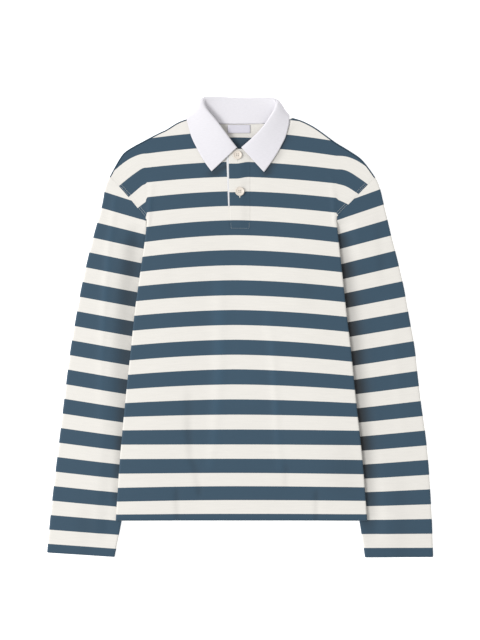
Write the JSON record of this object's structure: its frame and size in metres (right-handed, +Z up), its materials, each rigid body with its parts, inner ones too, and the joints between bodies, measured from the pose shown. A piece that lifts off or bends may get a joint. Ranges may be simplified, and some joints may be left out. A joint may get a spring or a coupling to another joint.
{
  "type": "rugby shirt",
  "caption": "Striped long-sleeved rugby shirt with a white turned-down collar and half placket, laid flat.",
  "frame": {"origin": "middle of the shirt's box, on the surface that it lies on", "axes": "+X to the right as seen from above, +Y from the hem to the collar, +Z up from the surface"},
  "size_m": [0.6572, 0.7837, 0.0169],
  "materials": {
    "jersey": "matte",
    "collar_cloth": "matte",
    "tape_cloth": "matte",
    "label_cloth": "satin",
    "button_plastic": "satin"
  },
  "bodies": {
    "root": {"back": "jersey", "front": "jersey", "sleeve_left": "jersey", "sleeve_right": "jersey", "collar_stand": "collar_cloth", "collar_fall": "collar_cloth", "placket": "jersey", "placket_tape": "tape_cloth", "label": "label_cloth", "button_top": "button_plastic", "button_second": "button_plastic"}
  },
  "joints": []
}
